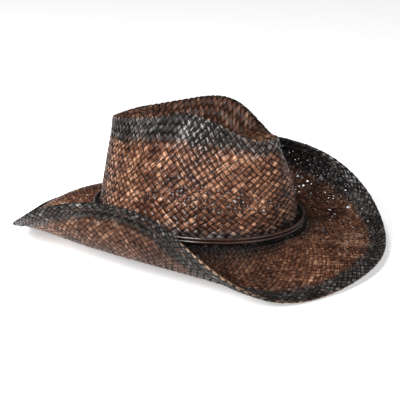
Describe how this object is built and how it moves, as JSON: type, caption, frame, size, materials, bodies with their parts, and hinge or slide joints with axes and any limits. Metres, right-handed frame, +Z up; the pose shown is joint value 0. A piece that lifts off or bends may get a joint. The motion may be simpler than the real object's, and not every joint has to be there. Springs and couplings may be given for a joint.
{
  "type": "cowboy hat",
  "caption": "Woven straw cowboy hat with a pinched crown, rolled and wired brim, sweatband and a lift-off hat band of two leather cords",
  "frame": {"origin": "middle of the outline, on the surface the hat rests on", "axes": "+Z up, the front of the hat points to -Y, the wearer's left is +X"},
  "size_m": [0.2937, 0.3702, 0.1442],
  "materials": {
    "woven_straw": "woven flat straw, semi-gloss",
    "dark_straw": "dyed straw fold, semi-gloss",
    "wire": "drawn",
    "thread": "matt thread",
    "sweatband_cloth": "matt cloth",
    "cord_leather": "glossy"
  },
  "bodies": {
    "hat": {"crown": "woven_straw", "brim": "woven_straw", "brim_hem": "dark_straw", "brim_wire": "wire", "hem_stitching": "thread", "sweatband": "sweatband_cloth", "sweatband_tape": "thread", "sweatband_stitching": "thread"},
    "hat_band": {"band_cord_upper": "cord_leather", "band_cord_lower": "cord_leather", "band_keeper": "cord_leather"}
  },
  "joints": [
    {"name": "hat_band_lift", "type": "slide", "parent": "hat", "child": "hat_band", "axis": [0, 0, 1], "range_m": [0, 0.13]}
  ]
}
